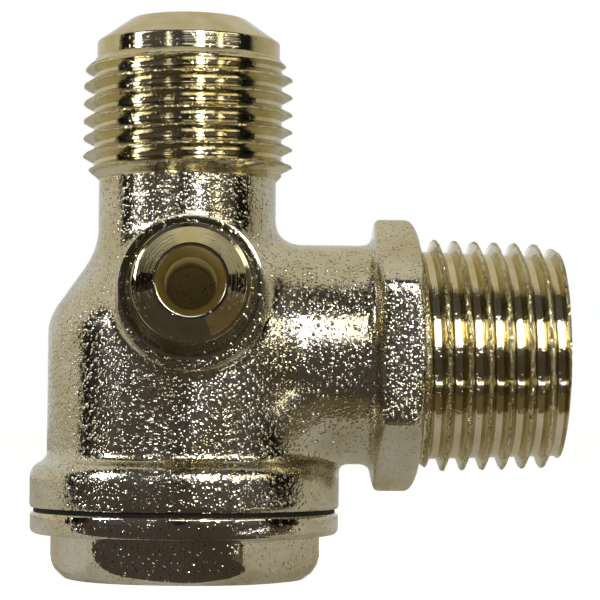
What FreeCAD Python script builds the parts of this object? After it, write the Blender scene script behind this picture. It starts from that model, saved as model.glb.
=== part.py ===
import FreeCAD, Part
import math, os
import Sketcher

# Non-return valve of an air compressor: one brass casting with three ports, and inside it a spring-loaded
# poppet that lets air pass from the top port to the right-hand port only.
# Millimetres. Z is the valve's main axis, the tank port points along +X and the unloader nozzle along -Y.
# The origin is the centre of the cap's lower face, on which the valve can stand.

doc = FreeCAD.newDocument("non_return_valve")
sheet = doc.addObject("Spreadsheet::Sheet", "Sizes")
V = FreeCAD.Vector


class Size:
    """A length with its number and the formula that gives it from the cells of the sheet."""

    rows = 0

    def __init__(self, value, formula):
        self.value = value
        self.formula = formula

    def __add__(self, other):
        other = as_size(other)
        return Size(self.value + other.value, "(" + self.formula + " + " + other.formula + ")")

    def __sub__(self, other):
        other = as_size(other)
        return Size(self.value - other.value, "(" + self.formula + " - " + other.formula + ")")

    def __mul__(self, factor):
        return Size(self.value * factor, "(" + self.formula + " * " + repr(factor) + ")")

    def __neg__(self):
        return self * -1


def as_size(value):
    """Plain numbers join the formulas as they are."""
    if isinstance(value, Size):
        return value
    return Size(float(value), repr(float(value)))


def size(alias, value):
    """Writes one driving dimension into the sheet and returns it."""
    Size.rows += 1
    row = str(Size.rows)
    sheet.set("A" + row, alias)
    sheet.set("B" + row, repr(value))
    sheet.setAlias("B" + row, alias)
    return Size(value, "Sizes." + alias)


# Cap, which closes the valve from below
hex_across_flats = size("hex_across_flats", 21.8)
hex_height = size("hex_height", 4.0)
cap_corner_radius = size("cap_corner_radius", 12.25)
cap_chamfer_radius = size("cap_chamfer_radius", 10.6)
cap_chamfer_height = size("cap_chamfer_height", 1.1)
cap_flange_inset = size("cap_flange_inset", 0.05)
cap_flange_height = size("cap_flange_height", 2.0)
cap_flange_rounding = size("cap_flange_rounding", 0.6)
cap_turn = size("cap_turn", 21.0)
spigot_radius = size("spigot_radius", 11.0)
spigot_length = size("spigot_length", 5.6)
spigot_chamfer = size("spigot_chamfer", 0.7)
spring_pocket_radius = size("spring_pocket_radius", 6.2)
spring_pocket_floor = size("spring_pocket_floor", 5.0)
guide_radius = size("guide_radius", 3.3)
guide_height = size("guide_height", 4.5)

# Gasket between the cap and the casting
gasket_inset = size("gasket_inset", 0.35)
gasket_thickness = size("gasket_thickness", 0.3)
gasket_clearance = size("gasket_clearance", 0.2)

# Barrel of the casting, with the inlet port on top
barrel_radius = size("barrel_radius", 12.45)
flange_overhang = size("flange_overhang", 1.5)
flange_land = size("flange_land", 0.15)
flange_height = size("flange_height", 4.2)
shoulder_height = size("shoulder_height", 23.3)
shoulder_rise = size("shoulder_rise", 6.3)
shoulder_rounding = size("shoulder_rounding", 2.5)
neck_radius = size("neck_radius", 8.05)
neck_top = size("neck_top", 36.2)
inlet_thread_radius = size("inlet_thread_radius", 9.525)
inlet_thread_length = size("inlet_thread_length", 10.5)
inlet_thread_depth = size("inlet_thread_depth", 0.98)
inlet_pilot_radius = size("inlet_pilot_radius", 8.33)
inlet_pilot_length = size("inlet_pilot_length", 1.9)
nose_height = size("nose_height", 2.0)
nose_radius = size("nose_radius", 5.2)
nose_rounding = size("nose_rounding", 0.35)
inlet_bore_radius = size("inlet_bore_radius", 4.6)

# Tank port on the right
tank_axis_height = size("tank_axis_height", 20.25)
tube_radius = size("tube_radius", 9.95)
tube_root_rounding = size("tube_root_rounding", 0.6)
collar_start = size("collar_start", 16.9)
collar_width = size("collar_width", 4.0)
collar_corner_radius = size("collar_corner_radius", 12.5)
collar_chamfer_radius = size("collar_chamfer_radius", 11.2)
collar_chamfer = size("collar_chamfer", 0.85)
tank_thread_radius = size("tank_thread_radius", 10.478)
tank_gauge_length = size("tank_gauge_length", 8.2)
tank_port_reach = size("tank_port_reach", 33.8)
tank_end_chamfer = size("tank_end_chamfer", 0.8)
tank_runout = size("tank_runout", 0.4)
outlet_bore_radius = size("outlet_bore_radius", 6.0)
outlet_bore_start = size("outlet_bore_start", 8.0)

# Unloader nozzle in front, on its round boss
nozzle_axis_height = size("nozzle_axis_height", 25.6)
nozzle_offset = size("nozzle_offset", 0.4)
nozzle_thread_radius = size("nozzle_thread_radius", 5.0)
nozzle_thread_depth = size("nozzle_thread_depth", 0.6)
nozzle_reach = size("nozzle_reach", 22.4)
nozzle_cone_length = size("nozzle_cone_length", 1.8)
nozzle_pilot_radius = size("nozzle_pilot_radius", 4.55)
nozzle_pilot_length = size("nozzle_pilot_length", 0.7)
nozzle_mouth_radius = size("nozzle_mouth_radius", 3.1)
nozzle_countersink = size("nozzle_countersink", 4.4)
nozzle_bore_radius = size("nozzle_bore_radius", 2.16)
nozzle_lip = size("nozzle_lip", 0.15)
nozzle_relief = size("nozzle_relief", 0.8)
boss_radius = size("boss_radius", 6.35)
boss_drop = size("boss_drop", 0.6)
boss_face = size("boss_face", 12.95)
boss_edge = size("boss_edge", 0.3)

# Chamber and seat inside the casting
thread_clearance = size("thread_clearance", 0.1)
chamber_radius = size("chamber_radius", 10.0)
chamber_start_gap = size("chamber_start_gap", 1.4)
chamber_ceiling = size("chamber_ceiling", 22.9)
seat_radius = size("seat_radius", 6.2)
seat_drop = size("seat_drop", 1.4)
seat_draft = size("seat_draft", 0.3)

# Poppet, its soft disc and what holds the disc
disc_radius = size("disc_radius", 6.9)
disc_thickness = size("disc_thickness", 2.0)
rim_wall = size("rim_wall", 0.7)
rim_height = size("rim_height", 1.2)
poppet_plate = size("poppet_plate", 1.6)
stem_radius = size("stem_radius", 2.1)
stem_clearance = size("stem_clearance", 0.2)
stem_engagement = size("stem_engagement", 3.2)
lift = size("lift", 3.5)
stem_end_gap = size("stem_end_gap", 0.4)
spring_step_radius = size("spring_step_radius", 3.6)
spring_step_height = size("spring_step_height", 0.6)
washer_radius = size("washer_radius", 3.4)
washer_thickness = size("washer_thickness", 0.5)
screw_radius = size("screw_radius", 1.25)
screw_length = size("screw_length", 5.5)
screw_hole_depth = size("screw_hole_depth", 4.5)
screw_head_radius = size("screw_head_radius", 2.3)
screw_head_height = size("screw_head_height", 1.3)
screw_slot_width = size("screw_slot_width", 0.6)
screw_slot_depth = size("screw_slot_depth", 0.6)
part_clearance = size("part_clearance", 0.05)

# Spring
wire_radius = size("wire_radius", 0.45)
spring_clearance = size("spring_clearance", 0.35)
spring_turns = size("spring_turns", 5.0)

# The taper of the tank thread, as radius lost per length
TANK_TAPER = 1 / 32

# How far a cutter runs past the metal
overrun = size("overrun", 1.0)

# Radii of the three discs that lie on each other, and the edge that is left flat round the barrel
flange_radius = barrel_radius + flange_overhang
flange_rounding = flange_overhang - flange_land
cap_flange_radius = flange_radius - cap_flange_inset
gasket_radius = flange_radius - gasket_inset

# Heights along the main axis, from the cap's lower face up
cap_flange_top = hex_height + cap_flange_height
gasket_top = cap_flange_top + gasket_thickness
flange_top = gasket_top + flange_height
spigot_top = cap_flange_top + spigot_length
shoulder_top = shoulder_height + shoulder_rise
thread_top = neck_top + inlet_thread_length
pilot_top = thread_top + inlet_pilot_length
nose_top = pilot_top + nose_height
seat_height = chamber_ceiling - seat_drop
disc_bottom = seat_height - disc_thickness
plate_bottom = disc_bottom - poppet_plate
guide_top = spring_pocket_floor + guide_height
stem_bottom = guide_top - stem_engagement
guide_hole_floor = stem_bottom - lift - stem_end_gap
collar_end = collar_start + collar_width
hex_corner = hex_across_flats * (1 / math.sqrt(3))


def new_body(label):
    """One sub-part, which is named after its node."""
    body = doc.addObject("PartDesign::Body", label)
    body.Label = label
    return body


def origin_plane(body, role):
    """One of the three origin planes of a sub-part."""
    return [item for item in body.Origin.OriginFeatures if item.Role == role][0]


def outline(body, name, role, corners, up=0, along=0):
    """A closed outline of straight lines whose corners are bound to the sheet. It lies in an origin plane,
    moved up in that plane and along out of it."""
    sketch = body.newObject("Sketcher::SketchObject", name)
    sketch.AttachmentSupport = (origin_plane(body, role), [""])
    sketch.MapMode = "FlatFace"
    for axis, shift in (("y", up), ("z", along)):
        if isinstance(shift, Size):
            sketch.setExpression("AttachmentOffset.Base." + axis, shift.formula)
    corners = [(as_size(first), as_size(second)) for first, second in corners]
    points = [V(first.value, second.value, 0) for first, second in corners]
    for index, point in enumerate(points):
        sketch.addGeometry(Part.LineSegment(point, points[(index + 1) % len(points)]), False)
    for index in range(len(points)):
        before = (index - 1) % len(points)
        sketch.addConstraint(Sketcher.Constraint("Coincident", before, 2, index, 1))
    for index, pair in enumerate(corners):
        for kind, axis_line, length in (("DistanceX", -2, pair[0]), ("DistanceY", -1, pair[1])):
            if length.formula == "0.0":
                sketch.addConstraint(Sketcher.Constraint("PointOnObject", index, 1, axis_line))
                continue
            number = sketch.addConstraint(Sketcher.Constraint(kind, -1, 1, index, 1, length.value))
            sketch.setExpression("Constraints[" + str(number) + "]", length.formula)
    return sketch


def turn(body, kind, name, sketch, axis):
    """Turns an outline about an axis of its sketch, to add metal or to take it away."""
    feature = body.newObject("PartDesign::" + kind, name)
    feature.Profile = sketch
    feature.ReferenceAxis = (sketch, [axis])
    feature.Angle = 360
    sketch.Visibility = False
    doc.recompute()
    return feature


def turned(body, name, corners, role="XZ_Plane", axis="V_Axis", up=0, along=0):
    """Metal turned about an axis."""
    return turn(body, "Revolution", name, outline(body, name + "_outline", role, corners, up, along), axis)


def bored(body, name, corners, role="XZ_Plane", axis="V_Axis", up=0, along=0):
    """Metal taken away about an axis. The volume tells whether the cutter met the metal."""
    before = body.Tip.Shape.Volume
    feature = turn(body, "Groove", name, outline(body, name + "_outline", role, corners, up, along), axis)
    if not feature.Shape.Volume < before:
        raise RuntimeError(name + " cuts nothing")
    return feature


def hexagon(body, name, role, height, up=0, along=0):
    """A hexagonal prism with two of its corners up and down in its plane."""
    half = hex_across_flats * 0.5
    corners = [(0, hex_corner), (-half, hex_corner * 0.5), (-half, hex_corner * -0.5),
               (0, -hex_corner), (half, hex_corner * -0.5), (half, hex_corner * 0.5)]
    sketch = outline(body, name + "_outline", role, corners, up, along)
    pad = body.newObject("PartDesign::Pad", name)
    pad.Profile = sketch
    pad.setExpression("Length", height.formula)
    sketch.Visibility = False
    doc.recompute()
    return pad


def edges_where(feature, test):
    """Names of the edges whose points all pass a test."""
    names = []
    for number, edge in enumerate(feature.Shape.Edges, 1):
        points = edge.discretize(9)
        straight = edge.Length < points[0].distanceToPoint(points[-1]) + 0.001
        if straight:
            continue
        if all(test(point) for point in points):
            names.append("Edge" + str(number))
    return names


def ring(radius, height):
    """The test for a ring about the main axis."""
    return lambda p: (abs(math.hypot(p.x, p.y) - radius.value) < 0.001
                      and abs(p.z - height.value) < 0.001)


def rounded(body, name, radius, test):
    """Rounds the edges that pass a test."""
    base = body.Tip
    names = edges_where(base, test)
    if not names:
        raise RuntimeError(name + " finds no edge")
    fillet = body.newObject("PartDesign::Fillet", name)
    fillet.Base = (base, names)
    fillet.setExpression("Radius", radius.formula)
    doc.recompute()
    return fillet


def lifted(body, height):
    """Sets a sub-part at its height on the main axis."""
    body.setExpression("Placement.Base.z", height.formula)


def make_valve_body():
    """The casting: flange, barrel, shoulder, neck and inlet port in one line, the tank port with its hexagon
    collar across it, and the unloader nozzle on a boss in front. Its bores meet the chamber and the seat."""
    body = new_body("valve_body")
    root = inlet_thread_radius - inlet_thread_depth
    turned(body, "barrel", [
        (0, gasket_top), (flange_radius, gasket_top), (flange_radius, flange_top),
        (barrel_radius, flange_top), (barrel_radius, shoulder_height),
        (neck_radius, shoulder_top), (neck_radius, neck_top),
        (root, neck_top), (inlet_thread_radius, neck_top + inlet_thread_depth),
        (inlet_thread_radius, thread_top - inlet_thread_depth), (root, thread_top),
        (inlet_pilot_radius, thread_top), (inlet_pilot_radius, pilot_top),
        (nose_radius, nose_top), (0, nose_top)])
    rounded(body, "flange_edge", flange_rounding, ring(flange_radius, flange_top))
    rounded(body, "shoulder_edge", shoulder_rounding, ring(barrel_radius, shoulder_height))
    rounded(body, "neck_root", shoulder_rounding, ring(neck_radius, shoulder_top))
    rounded(body, "nose_base", nose_rounding, ring(inlet_pilot_radius, pilot_top))
    rounded(body, "nose_tip", nose_rounding, ring(nose_radius, nose_top))

    gauge_plane = tank_port_reach - tank_gauge_length
    taper_end = tank_port_reach - tank_end_chamfer
    thread_start = collar_end + tank_runout
    start_radius = tank_thread_radius + (gauge_plane - thread_start) * TANK_TAPER
    end_radius = tank_thread_radius - (taper_end - gauge_plane) * TANK_TAPER
    turned(body, "tank_port", [
        (0, 0), (0, tube_radius), (thread_start, tube_radius), (thread_start, start_radius),
        (taper_end, end_radius), (tank_port_reach, end_radius - tank_end_chamfer), (tank_port_reach, 0)],
        "XZ_Plane", "H_Axis", tank_axis_height)
    rounded(body, "tube_root", tube_root_rounding, lambda p: (
        abs(math.hypot(p.y, p.z - tank_axis_height.value) - tube_radius.value) < 0.001
        and p.x < collar_start.value and p.z > flange_top.value + 0.001))

    nozzle_front = -nozzle_reach
    cone_start = nozzle_front + nozzle_cone_length
    pilot_start = cone_start + nozzle_pilot_length
    nozzle_root = nozzle_thread_radius - nozzle_thread_depth
    turned(body, "boss", [
        (0, 0), (0, boss_radius), (boss_edge - boss_face, boss_radius),
        (-boss_face, boss_radius - boss_edge), (-boss_face, 0)],
        "YZ_Plane", "H_Axis", nozzle_axis_height - boss_drop, nozzle_offset)
    turned(body, "nozzle", [
        (0, 0), (0, nozzle_root), (-boss_face - nozzle_relief, nozzle_root),
        (-boss_face - nozzle_relief - nozzle_thread_depth, nozzle_thread_radius),
        (pilot_start + nozzle_thread_depth * 0.5, nozzle_thread_radius), (pilot_start, nozzle_pilot_radius),
        (cone_start, nozzle_pilot_radius), (nozzle_front, nozzle_mouth_radius + nozzle_lip),
        (nozzle_front, 0)],
        "YZ_Plane", "H_Axis", nozzle_axis_height, nozzle_offset)

    hexagon(body, "collar", "YZ_Plane", collar_width, tank_axis_height, collar_start)
    bored(body, "collar_corners", [
        (collar_start, collar_corner_radius), (collar_end - collar_chamfer, collar_corner_radius),
        (collar_end, collar_chamfer_radius), (collar_end + overrun, collar_chamfer_radius),
        (collar_end + overrun, hex_corner + overrun), (collar_start, hex_corner + overrun)],
        "XZ_Plane", "H_Axis", tank_axis_height)

    thread_bore = spigot_radius + thread_clearance
    chamber_start = spigot_top + chamber_start_gap
    bored(body, "chamber", [
        (0, gasket_top - overrun), (thread_bore, gasket_top - overrun),
        (thread_bore, spigot_top + overrun * 0.5), (chamber_radius, chamber_start),
        (chamber_radius, chamber_ceiling), (seat_radius + seat_draft, chamber_ceiling),
        (seat_radius, seat_height), (inlet_bore_radius, seat_height),
        (inlet_bore_radius, nose_top + overrun), (0, nose_top + overrun)])
    bored(body, "outlet_bore", [
        (outlet_bore_start, 0), (outlet_bore_start, outlet_bore_radius),
        (tank_port_reach + overrun, outlet_bore_radius), (tank_port_reach + overrun, 0)],
        "XZ_Plane", "H_Axis", tank_axis_height)
    bored(body, "nozzle_bore", [
        (0, 0), (0, nozzle_bore_radius), (nozzle_front + nozzle_countersink, nozzle_bore_radius),
        (nozzle_front, nozzle_mouth_radius), (nozzle_front - overrun, nozzle_mouth_radius),
        (nozzle_front - overrun, 0)],
        "YZ_Plane", "H_Axis", nozzle_axis_height, nozzle_offset)
    return body


def make_bottom_cap():
    """The plug that closes the chamber: a hexagon for the spanner, a round flange that presses the gasket,
    and a threaded spigot with the spring's pocket and the guide for the poppet's stem."""
    body = new_body("bottom_cap")
    hexagon(body, "spanner_hexagon", "XY_Plane", hex_height)
    bored(body, "hexagon_corners", [
        (cap_chamfer_radius, 0), (cap_corner_radius, cap_chamfer_height), (cap_corner_radius, hex_height),
        (hex_corner + overrun, hex_height), (hex_corner + overrun, 0)])
    turned(body, "flange_and_spigot", [
        (0, hex_height), (cap_flange_radius, hex_height), (cap_flange_radius, cap_flange_top),
        (spigot_radius, cap_flange_top), (spigot_radius, spigot_top - spigot_chamfer),
        (spigot_radius - spigot_chamfer, spigot_top), (0, spigot_top)])
    rounded(body, "flange_edge", cap_flange_rounding, ring(cap_flange_radius, hex_height))
    stem_bore = stem_radius + stem_clearance
    bored(body, "spring_pocket", [
        (0, guide_hole_floor), (stem_bore, guide_hole_floor), (stem_bore, guide_top),
        (guide_radius, guide_top), (guide_radius, spring_pocket_floor),
        (spring_pocket_radius, spring_pocket_floor),
        (spring_pocket_radius, spigot_top + overrun), (0, spigot_top + overrun)])
    body.setExpression("Placement.Rotation.Angle", cap_turn.formula)
    return body


def make_cap_gasket():
    """A flat black ring, pressed between the cap's flange and the casting."""
    body = new_body("cap_gasket")
    inner = spigot_radius + gasket_clearance
    turned(body, "flat_ring", [
        (inner, 0), (gasket_radius, 0), (gasket_radius, gasket_thickness), (inner, gasket_thickness)])
    lifted(body, cap_flange_top)
    return body


def make_poppet():
    """The moulded carrier: a plate with a low rim round the soft disc, a step that centres the spring, and a
    stem that slides in the cap's guide."""
    body = new_body("poppet")
    rim_inner = disc_radius + part_clearance
    rim_outer = rim_inner + rim_wall
    step_bottom = plate_bottom - spring_step_height
    turned(body, "carrier", [
        (0, stem_bottom), (stem_radius, stem_bottom), (stem_radius, step_bottom),
        (spring_step_radius, step_bottom), (spring_step_radius, plate_bottom),
        (rim_outer, plate_bottom), (rim_outer, disc_bottom + rim_height),
        (rim_inner, disc_bottom + rim_height), (rim_inner, disc_bottom), (0, disc_bottom)])
    bored(body, "screw_hole", [
        (0, disc_bottom - screw_hole_depth), (screw_radius, disc_bottom - screw_hole_depth),
        (screw_radius, disc_bottom + overrun), (0, disc_bottom + overrun)])
    return body


def make_poppet_disc():
    """The soft disc that closes on the seat."""
    body = new_body("poppet_disc")
    hole = screw_radius + part_clearance
    turned(body, "soft_disc", [
        (hole, 0), (disc_radius, 0), (disc_radius, disc_thickness), (hole, disc_thickness)])
    lifted(body, disc_bottom)
    return body


def make_disc_washer():
    """The washer that spreads the screw's pull over the soft disc."""
    body = new_body("disc_washer")
    hole = screw_radius + part_clearance
    turned(body, "washer", [
        (hole, 0), (washer_radius, 0), (washer_radius, washer_thickness), (hole, washer_thickness)])
    lifted(body, seat_height)
    return body


def make_disc_screw():
    """The slotted screw that holds washer and disc on the carrier."""
    body = new_body("disc_screw")
    turned(body, "screw", [
        (0, -screw_length), (screw_radius, -screw_length), (screw_radius, 0), (screw_head_radius, 0),
        (screw_head_radius, screw_head_height), (0, screw_head_height)])
    half = screw_slot_width * 0.5
    sketch = outline(body, "slot_outline", "XY_Plane", [
        (-screw_head_radius - overrun, -half), (screw_head_radius + overrun, -half),
        (screw_head_radius + overrun, half), (-screw_head_radius - overrun, half)], 0, screw_head_height)
    slot = body.newObject("PartDesign::Pocket", "slot")
    slot.Profile = sketch
    slot.setExpression("Length", screw_slot_depth.formula)
    doc.recompute()
    lifted(body, seat_height + washer_thickness)
    return body


def make_spring():
    """The compression spring between the cap's pocket and the poppet: a round wire swept along a helix."""
    start = spring_pocket_floor + part_clearance + wire_radius
    end = plate_bottom - part_clearance - wire_radius
    mean_radius = guide_radius + spring_clearance + wire_radius
    helix = doc.addObject("Part::Helix", "spring_line")
    helix.setExpression("Radius", mean_radius.formula)
    helix.setExpression("Height", (end - start).formula)
    helix.setExpression("Pitch", "(" + (end - start).formula + " / " + spring_turns.formula + ")")
    helix.setExpression("Placement.Base.z", start.formula)
    wire = doc.addObject("Part::Circle", "spring_wire_section")
    wire.setExpression("Radius", wire_radius.formula)
    wire.Placement = FreeCAD.Placement(V(0, 0, 0), FreeCAD.Rotation(V(1, 0, 0), 90))
    wire.setExpression("Placement.Base.x", mean_radius.formula)
    wire.setExpression("Placement.Base.z", start.formula)
    doc.recompute()
    spring = doc.addObject("Part::Sweep", "spring")
    spring.Label = "spring"
    spring.Sections = [wire]
    spring.Spine = (helix, [])
    spring.Solid = True
    spring.Frenet = True
    doc.recompute()
    return spring


sub_parts = [make_valve_body(), make_bottom_cap(), make_cap_gasket(), make_poppet(), make_poppet_disc(),
             make_disc_washer(), make_disc_screw(), make_spring()]
doc.recompute()

for item in doc.Objects:
    if "Invalid" in item.State or "Error" in item.State:
        raise RuntimeError(item.Label + " failed: " + ", ".join(item.State))
for item in sub_parts:
    if item.Shape.isNull() or not item.Shape.isValid() or len(item.Shape.Solids) != 1:
        raise RuntimeError(item.Label + " is not one valid solid")

os.makedirs("parts", exist_ok=True)
for item in sub_parts:
    item.Shape.exportStep("parts/" + item.Label + ".step")
    print(item.Label, "solids", len(item.Shape.Solids), "volume", round(item.Shape.Volume, 2))
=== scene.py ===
"""A non-return valve of an air compressor: a nickel-plated brass casting with a flare inlet on top, a taper
thread on the right and a small unloader nozzle in front, closed from below by a screwed hexagon cap."""
import math

import bmesh
import bpy
import numpy as np
from mathutils import Matrix, Vector


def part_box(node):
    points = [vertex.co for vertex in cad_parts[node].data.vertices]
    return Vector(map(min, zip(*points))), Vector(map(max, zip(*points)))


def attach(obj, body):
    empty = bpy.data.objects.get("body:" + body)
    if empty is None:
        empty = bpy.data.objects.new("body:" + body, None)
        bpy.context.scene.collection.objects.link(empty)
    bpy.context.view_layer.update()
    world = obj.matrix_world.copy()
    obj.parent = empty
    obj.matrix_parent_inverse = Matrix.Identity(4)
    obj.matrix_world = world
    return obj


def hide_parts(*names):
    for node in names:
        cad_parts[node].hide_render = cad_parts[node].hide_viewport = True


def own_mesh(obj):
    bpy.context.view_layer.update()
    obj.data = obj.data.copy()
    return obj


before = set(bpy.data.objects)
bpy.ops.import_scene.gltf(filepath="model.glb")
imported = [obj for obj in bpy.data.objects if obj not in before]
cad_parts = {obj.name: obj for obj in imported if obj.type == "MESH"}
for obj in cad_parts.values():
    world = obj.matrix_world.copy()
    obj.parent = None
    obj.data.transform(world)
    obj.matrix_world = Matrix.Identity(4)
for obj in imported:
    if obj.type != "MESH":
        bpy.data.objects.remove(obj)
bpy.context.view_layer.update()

# The casting
# One piece of cast brass: flange, barrel, shoulder, neck, a tube with a hexagon collar and a round boss.
# Its skin is worked out here as a distance field whose joints are blended, as a foundry pattern's are.
MM = 0.001
TANK_AXIS = 20.25
NOZZLE_AXIS = 25.6
NOZZLE_SHIFT = 0.4
flange_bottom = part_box("cap_gasket")[1].z / MM
flange_top, flange_radius, flange_round = 10.5, 13.95, 1.3
barrel_radius, shoulder_start, shoulder_end = 12.45, 23.3, 29.6
neck_radius, neck_end = 8.05, 36.9
tube_radius = 9.95
collar_start, collar_end = 16.9, 20.9
across_flats, collar_corner = 21.8, 12.5
collar_cone, collar_back = 11.3, 11.0
boss_radius, boss_face, boss_axis, boss_draft = 6.35, 12.95, 25.0, 0.05
arm_blend, flange_blend, boss_blend = 2.4, 0.9, 1.0
VOXEL = 0.27


def smooth_min(first, second, reach):
    """The lower of two fields, less a quarter of reach times the square of how near they are, which is 1
    where they are equal and 0 where they differ by reach or more. So they join in a smooth arc."""
    gap = np.clip(reach - np.abs(first - second), 0, None) / reach
    return np.minimum(first, second) - gap ** 2 * reach * 0.25


def smooth_max(first, second, reach):
    """The higher of two fields, joined in the same way."""
    return -smooth_min(-first, -second, reach)


def capped(radial, along, low, high, edge):
    """A round or flat-sided bar with rounded edges: the highest of its sideways field, the distance below its
    low end and the distance above its high end."""
    return smooth_max(smooth_max(radial, low - along, edge), along - high, edge)


def stem_field(x, y, z):
    """Distance from the turned stem: the radius less the outline's at that height, which is the barrel's,
    then a cone's, then the neck's. It is cut off at both ends."""
    r = np.hypot(x, y)
    slope = (barrel_radius - neck_radius) / (shoulder_end - shoulder_start)
    cone = barrel_radius - (z - shoulder_start) * slope
    outline = smooth_min(cone, np.full_like(z, barrel_radius), 0.9)
    outline = smooth_max(outline, np.full_like(z, neck_radius), 1.3)
    return capped(r - outline, z, flange_bottom, neck_end, 0.1)


def collar_field(x, y, z):
    """Distance from the hexagon collar: three pairs of flats, the corners cut by a cylinder and a cone on
    the thread's side, and a back that leans a little towards the tube."""
    up = z - TANK_AXIS
    r = np.hypot(y, up)
    flats = np.abs(y)
    for turn in (60, 120):
        side = np.abs(y * math.cos(math.radians(turn)) + up * math.sin(math.radians(turn)))
        flats = smooth_max(flats, side, 0.4)
    bar = smooth_max(flats - across_flats / 2, r - collar_corner, 0.5)
    cone = (r - collar_cone) * 0.5 + (x - collar_end) * 0.85
    body = smooth_max(bar, collar_start - x + (r - collar_back) * 0.12, 0.6)
    return smooth_max(smooth_max(body, x - collar_end, 0.5), cone, 0.5)


def casting_field(points):
    """Distance from the whole cast skin: stem and tube meet in a wide fillet, flange and boss in small
    ones. The boss widens a little towards its root."""
    x, y, z = points.T
    disc = smooth_max(smooth_max(np.hypot(x, y) - flange_radius, z - flange_top, flange_round * 1.25),
                      flange_bottom - z, 0.35)
    tube = capped(np.hypot(y, z - TANK_AXIS) - tube_radius, x, 0.0, collar_end - 1.0, 0.1)
    arm = smooth_min(tube, collar_field(x, y, z), 1.1)
    boss = capped(np.hypot(x - NOZZLE_SHIFT, z - boss_axis) - boss_radius - (boss_face + y) * boss_draft,
                  -y, 0.0, boss_face - 0.05, 0.12)
    skin_field = smooth_min(stem_field(x, y, z), arm, arm_blend)
    return smooth_min(smooth_min(skin_field, disc, flange_blend), boss, boss_blend)


def gradient(field, points, step=0.01):
    """The field's slope along each axis: its change between a step ahead and a step back, over two steps."""
    slopes = np.empty_like(points)
    for axis in range(3):
        shift = np.zeros(3)
        shift[axis] = step
        slopes[:, axis] = (field(points + shift) - field(points - shift)) / (2 * step)
    return slopes


def mesh_object(name, points, faces):
    """A mesh in metres from points in millimetres and lists of corner numbers."""
    mesh = bpy.data.meshes.new(name)
    mesh.from_pydata((np.asarray(points, float) * MM).tolist(), [], faces)
    mesh.update()
    piece = bpy.data.objects.new(name, mesh)
    bpy.context.scene.collection.objects.link(piece)
    return piece


def turned_points(profile, sides, axis="z", centre=(0.0, 0.0, 0.0)):
    """A ring of points for each (radius, along) pair of a profile, about an axis through a centre: radius
    times the cosine and the sine of the angle, and along. Radii and places may be arrays with one value for
    each column, so a thread's flank can wind round. The last column lies on the first, or one pitch on in a
    thread, and is joined to what it meets when the mesh is finished."""
    angle = np.linspace(0, 2 * math.pi, sides + 1)
    radius = np.stack([np.broadcast_to(r, sides + 1) for r, _ in profile])
    along = np.stack([np.broadcast_to(a, sides + 1) for _, a in profile])
    first, second = radius * np.cos(angle), radius * np.sin(angle)
    order = {"z": (first, second, along), "x": (along, first, second), "-y": (first, -along, second)}[axis]
    return np.stack(order, axis=-1) + np.array(centre)


def grid_faces(rows, columns, round_rows=False, round_columns=False):
    """Quads between neighbouring points of a grid, which may close on itself either way."""
    row, column = np.meshgrid(np.arange(rows if round_rows else rows - 1),
                              np.arange(columns if round_columns else columns - 1), indexing="ij")
    ahead, beside = (row + 1) % rows, (column + 1) % columns
    quads = np.stack([row * columns + column, row * columns + beside, ahead * columns + beside,
                      ahead * columns + column], -1)
    return quads.reshape(-1, 4).tolist()


def apply_modifiers(piece):
    """Bakes a piece's modifiers into its mesh."""
    graph = bpy.context.evaluated_depsgraph_get()
    baked = bpy.data.meshes.new_from_object(piece.evaluated_get(graph), depsgraph=graph)
    piece.modifiers.clear()
    piece.data = baked


def closed_up(piece, gap=1e-7):
    """A piece's mesh for editing, with doubled points joined, which closes seams and poles, and with every
    face turned outwards."""
    mesh = bmesh.new()
    mesh.from_mesh(piece.data)
    bmesh.ops.remove_doubles(mesh, verts=mesh.verts, dist=gap)
    bmesh.ops.dissolve_degenerate(mesh, edges=mesh.edges, dist=gap)
    bmesh.ops.recalc_face_normals(mesh, faces=mesh.faces)
    return mesh


def solid_of_turn(name, profile, axis="z", centre=(0.0, 0.0, 0.0), sides=96):
    """A closed solid of revolution from a profile whose ends lie on the axis."""
    grid = turned_points(profile, sides, axis, centre)
    piece = mesh_object(name, grid.reshape(-1, 3), grid_faces(len(profile), sides + 1))
    mesh = closed_up(piece)
    mesh.to_mesh(piece.data)
    mesh.free()
    return piece


def join(name, pieces):
    """Makes one piece of several."""
    mesh = bmesh.new()
    for piece in pieces:
        mesh.from_mesh(piece.data)
        bpy.data.objects.remove(piece)
    data = bpy.data.meshes.new(name)
    mesh.to_mesh(data)
    mesh.free()
    joined = bpy.data.objects.new(name, data)
    bpy.context.scene.collection.objects.link(joined)
    return joined


blank = join("casting", [
    solid_of_turn("blank_flange", [(0, flange_bottom), (flange_radius, flange_bottom),
                                   (flange_radius, flange_top - 1), (barrel_radius, flange_top),
                                   (0, flange_top)]),
    solid_of_turn("blank_barrel", [(0, flange_bottom), (barrel_radius, flange_bottom),
                                   (barrel_radius, shoulder_start), (neck_radius, shoulder_end),
                                   (neck_radius, neck_end), (0, neck_end)]),
    solid_of_turn("blank_tube", [(0, 0), (tube_radius, 0), (tube_radius, collar_end), (0, collar_end)],
                  "x", (0, 0, TANK_AXIS)),
    solid_of_turn("blank_collar", [(0, collar_start), (collar_corner, collar_start),
                                   (collar_corner, collar_end), (0, collar_end)], "x", (0, 0, TANK_AXIS)),
    solid_of_turn("blank_boss", [(0, 0), (boss_radius, 0), (boss_radius, boss_face), (0, boss_face)],
                  "-y", (NOZZLE_SHIFT, 0, boss_axis))])
remesh = blank.modifiers.new("one skin", "REMESH")
remesh.mode = "VOXEL"
remesh.voxel_size = VOXEL * MM
apply_modifiers(blank)


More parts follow.
